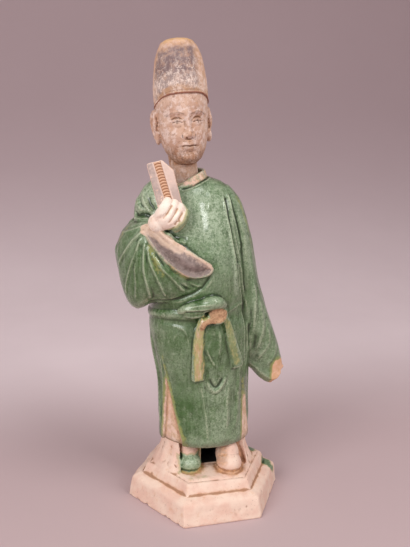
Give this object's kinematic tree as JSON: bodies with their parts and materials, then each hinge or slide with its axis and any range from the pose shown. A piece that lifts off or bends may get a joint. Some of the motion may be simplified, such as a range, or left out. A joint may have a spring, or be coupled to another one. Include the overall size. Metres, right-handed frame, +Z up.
{
  "type": "terracotta statuette",
  "caption": "Green-glazed terracotta statuette of a standing robed attendant with a tall hat, holding a tablet, one sleeve hanging, on a hexagonal bare-clay plinth.",
  "frame": {"origin": "centre of the plinth's underside", "axes": "+Z up through the figure, the figure faces -Y, +X towards the hanging sleeve"},
  "size_m": [0.1584, 0.1366, 0.4206],
  "materials": {
    "green_glazed_clay": "mottled green lead glaze over the robe, worn pale on the folds, with bare cream-pink clay on the plinth, boots, hand and skirt lining",
    "bare_painted_clay": "unglazed matt clay with remains of white ground, ochre and grey cold paint, and brown soil"
  },
  "bodies": {
    "root": {"robed_figure_on_plinth": "green_glazed_clay", "head_with_tall_hat": "bare_painted_clay"}
  },
  "joints": []
}
